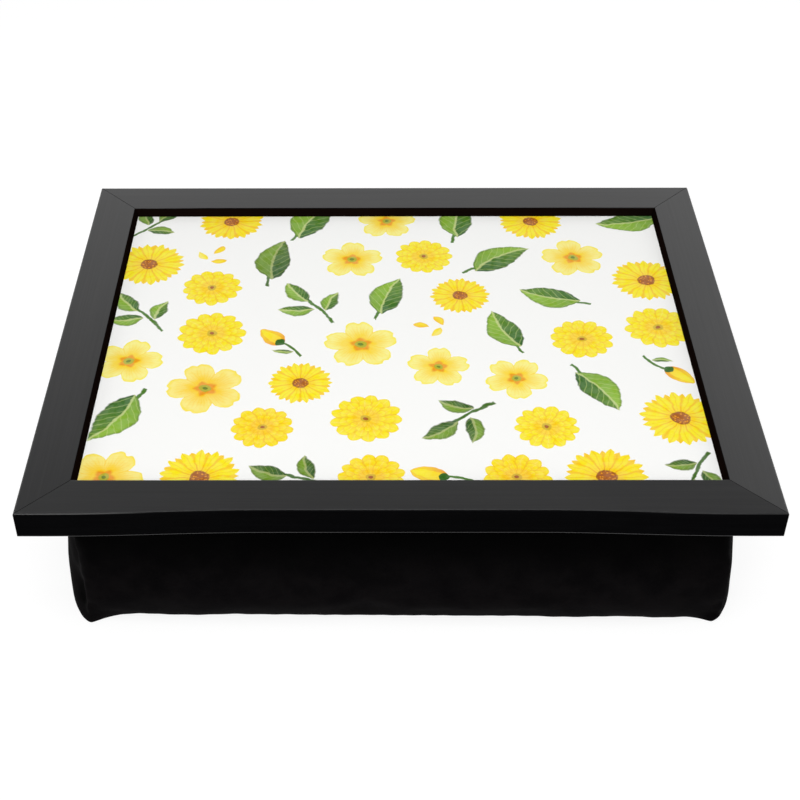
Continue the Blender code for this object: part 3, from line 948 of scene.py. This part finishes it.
def sewn(points, shape, starts, values):
    # Moves the cloth along its normal: in at the corner seams, in at hollows beside those of the side
    # walls, and in and out where it puckers along the corner seams and the flat's
    rows, columns = shape
    ring = points[:rows * columns].reshape(rows, columns, 3)
    normal = np.cross(np.gradient(ring, axis=0), np.roll(ring, -1, 1) - np.roll(ring, 1, 1))
    normal /= np.maximum(np.linalg.norm(normal, axis=2, keepdims=True), 1e-9)
    fromSeam, fromTop, fromBase, around = seamDistances(ring, starts)
    freeTop, freeBase = values["free"]
    free = ramp(fromTop, freeTop) * ramp(fromBase, freeBase)
    onSide = (np.searchsorted(starts, np.arange(columns), "right") - 1) % 2  # 1 on the side walls
    down = fromTop / fromTop[-1:]
    deepest, away, width, least = values["pinch"]
    depth = sum(most * bell(down - place, spread) for place, spread, most in values["pinches"]) + least
    pinch = deepest * depth * bell(fromSeam - away, width) * onSide * free
    height, length, reach, phase = values["pucker"]
    pucker = height * waves(fromTop, length, 2.0, 40, phase) * bell(fromSeam, reach) * free
    height, length, reach = values["basePucker"]
    away, start = values["baseAway"]
    pucker += height * waves(around, length, 1.5, 31) * bell(fromBase - away, reach) * ramp(fromBase, start)
    depth, width, start = values["seam"]
    drawn = depth * bell(fromSeam, width) * ramp(fromTop, start)
    made = points.copy()
    made[:rows * columns] = (ring + normal * (pucker - drawn - pinch)[..., None]).reshape(-1, 3)
    hollow = np.zeros(len(points))
    hollow[:rows * columns] = (pinch / deepest).ravel()
    return made, hollow


def makeCover(values):
    # The drawn form, its folds from the simulation, its seams, and then a thickness inwards
    points, faces, shape, starts, net = coverGrid(values)
    points = settled(points, values)
    mesh = bpy.data.meshes.new("cushion_cover")
    mesh.from_pydata(points.tolist(), [], faces.tolist())
    cover = newObject("cushion_cover", mesh)
    rows, columns = shape
    held = (hemRows + 1) * columns
    rim = values["looseRim"]
    lying = net[rim:-rim, rim:-rim].ravel()
    seams = (np.arange(rows)[:, None] * columns + starts[:4]).ravel()
    pinned = np.concatenate([np.arange(held), lying, seams])
    points = blownUp(cover, points, faces, pinned, values)
    points[held:, 2] = np.clip(points[held:, 2], 0.0, foldHeight - values["foldRound"])
    points, hollow = sewn(points, shape, starts, values)
    points[held:, 2] = np.maximum(points[held:, 2], 0.0)
    mesh.vertices.foreach_set("co", points.ravel().astype(np.float32))
    # The hollows' depth, which the velour reads for painted shade
    mesh.attributes.new("hollow", "FLOAT", "POINT").data.foreach_set("value", hollow.astype(np.float32))
    mesh.update()
    smooth = cover.modifiers.new("rounded", "SUBSURF")
    smooth.levels = smooth.render_levels = 1
    thick = cover.modifiers.new("cloth", "SOLIDIFY")
    thick.thickness = values["thickness"]
    thick.offset = -1.0
    mesh.shade_smooth()
    return cover


velour = {
    "dark": "040304",
    "pale": "0B090A",
    # Painted shade: black laid over the pile under the frame and in the seam hollows
    "paintedShade": "000000",
    "napScale": 60.0, "tuftScale": 1500.0,  # per metre
    "napHeight": 0.0004, "tuftHeight": 0.00012,  # metres
    "napShare": 0.75, "napMask": (0.36, 0.64),
    "paintedShadeFrom": (0.034, 0.078), "paintedShadeMost": 0.95,  # metres up, over which painted shade darkens it under the frame
    "hollowShadeFrom": (0.5, 1.5), "hollowShadeMost": 0.9,  # hollow depths over which painted shade darkens the hollows
    "roughness": (0.86, 0.98), "specular": 0.03,
    "sheen": 0.007, "sheenRoughness": 0.4, "sheenTint": (0.55, 0.53, 0.56, 1.0),
}


def velourMaterial(values):
    # Black pile: a broken nap, tiny tufts and a soft sheen where it is seen along the pile. Painted shade
    # darkens its colour high up, under the frame, and in the hollows beside the side walls' seams.
    material, tree, shader = newMaterial("blackVelour")
    place = objectPlace(tree)
    nap = speckle(place, values["napScale"], detail=4.0, rough=0.6)
    tuft = speckle(place, values["tuftScale"])
    shade = rise(nap * values["napShare"] + tuft * (1.0 - values["napShare"]), *values["napMask"])
    pile = mixed(shade, tint(values["dark"]), tint(values["pale"]))
    # Painted shade: a share of black that rises high up under the frame and with the depth of the hollows
    high = rise(parted(place)[2], *values["paintedShadeFrom"]) * values["paintedShadeMost"]
    hollow = rise(meshNumber(tree, "hollow"), *values["hollowShadeFrom"]) * values["hollowShadeMost"]
    creases = raised(nap, values["napHeight"], strength=0.5)
    feedAll(shader, {
        "Base Color": mixed(high.then("MAXIMUM", hollow), pile, tint(values["paintedShade"])),
        "Roughness": between(tuft, *values["roughness"]), "Specular IOR Level": values["specular"],
        "Sheen Weight": values["sheen"], "Sheen Roughness": values["sheenRoughness"],
        "Sheen Tint": values["sheenTint"],
        "Normal": raised(tuft, values["tuftHeight"], strength=0.7, Normal=creases),
    })
    return material


cover = makeCover(cushion)
cover.data.materials.append(velourMaterial(velour))
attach(cover, "root")
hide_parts("cushion_front_wall", "cushion_back_wall", "cushion_left_wall", "cushion_right_wall",
            "cushion_base", "bead_fill")
print("cushion sewn:", len(cover.data.polygons), "cells")


# Floor, backdrop and soft studio light

studio = {
    "floorSize": 16.0,
    "floorDrop": 0.0002,  # metres below the cushion's flat
    "floorColour": 0.86,  # what lights the underside of the tray
    "floorSeen": 0.22,  # what the camera sees of it: this much of its lit colour
    "floorGlow": 0.85,  # and this much plain white
    "roomLevel": 0.72,
    "ceiling": 0.05,  # the room's brightness overhead, against 1 at its walls
    "walls": (0.48, 0.70),  # height of a direction, where wall turns to ceiling
    "lamps": [
        # name, middle, aimed at, width, height, brightness
        ("frontSoftbox", (-0.25, -1.60, 1.70), (0.0, 0.0, 0.1), 1.4, 1.0, 4.0),
        ("topSoftbox", (0.0, -0.45, 1.95), (0.0, 0.0, 0.1), 1.4, 1.0, 4.4),
        ("sideSoftbox", (1.15, 1.45, 1.40), (0.2, 0.0, 0.1), 1.0, 0.9, 0.55),
    ],
}


def shownShare(tree):
    # 1 for rays from the camera and for mirrored or refracted ones, 0 for scattered light
    path = addNode(tree, "ShaderNodeLightPath")
    return (wire(path.outputs["Is Camera Ray"]) + wire(path.outputs["Is Glossy Ray"])
            + wire(path.outputs["Is Transmission Ray"])).then("MINIMUM", 1.0)


def makeFloor(values):
    # One square that lights the tray as a pale floor, shows nearly white with a faint shadow, and is
    # clear from below
    half = values["floorSize"] / 2
    mesh = bpy.data.meshes.new("floor")
    rim = np.array([(-1, -1, 0), (1, -1, 0), (1, 1, 0), (-1, 1, 0)]) * half - (0, 0, values["floorDrop"])
    mesh.from_pydata(rim.tolist(), [], [(0, 1, 2, 3)])
    material, tree, shader = newMaterial("paleFloor")
    seen = shownShare(tree)
    feedAll(shader, {
        "Base Color": grey(between(seen, values["floorColour"], values["floorSeen"])),
        "Roughness": 1.0, "Specular IOR Level": 0.0,
        "Emission Color": plainWhite, "Emission Strength": seen * values["floorGlow"],
    })
    under = wire(addNode(tree, "ShaderNodeNewGeometry").outputs["Backfacing"])
    clear = addNode(tree, "ShaderNodeBsdfTransparent")
    both = addNode(tree, "ShaderNodeMixShader")
    for place, value in zip(both.inputs, (under, wire(shader.outputs[0]), wire(clear.outputs[0]))):
        feed(place, value)
    feed(tree.nodes["Material Output"].inputs["Surface"], wire(both.outputs[0]))
    mesh.materials.append(material)
    floor = newObject("floor", mesh)


def makeRoom(values):
    # White walls and a dim ceiling. The room lights the tray at a plain level, is brighter in a
    # mirror, and is white where the camera sees it.
    world = bpy.data.worlds.new("room")
    bpy.context.scene.world = world
    world.use_nodes = True
    tree = world.node_tree
    background = tree.nodes["Background"]
    height = parted(coordinates(tree, "Generated"))[2]
    overhead = between(rise(height, *values["walls"]), 1.0, values["ceiling"])
    lit = between(shownShare(tree), values["roomLevel"], 1.0) * overhead
    direct = wire(addNode(tree, "ShaderNodeLightPath").outputs["Is Camera Ray"])
    feedAll(background, {"Color": plainWhite, "Strength": lit + direct * (1.0 - lit)})


def makeLamps(values):
    # Brightness is that of the lamp's own face, so the power grows with its area; the width is level
    for name, middle, aim, width, height, brightness in values["lamps"]:
        data = bpy.data.lights.new(name, "AREA")
        data.shape = "RECTANGLE"
        data.size, data.size_y = width, height
        data.energy = brightness * math.pi * width * height
        lamp = newObject(name, data)
        away = np.array(middle) - np.array(aim)
        away /= np.linalg.norm(away)
        side = np.cross((0.0, 0.0, 1.0), away)
        side /= np.linalg.norm(side)
        turn = Matrix(np.column_stack((side, np.cross(away, side), away)).tolist()).to_4x4()
        lamp.matrix_world = Matrix.Translation(middle) @ turn
        lamp.visible_camera = False


makeFloor(studio)
makeRoom(studio)
makeLamps(studio)
bpy.context.scene.view_settings.view_transform = "Standard"
print("studio lit")

bpy.context.view_layer.update()
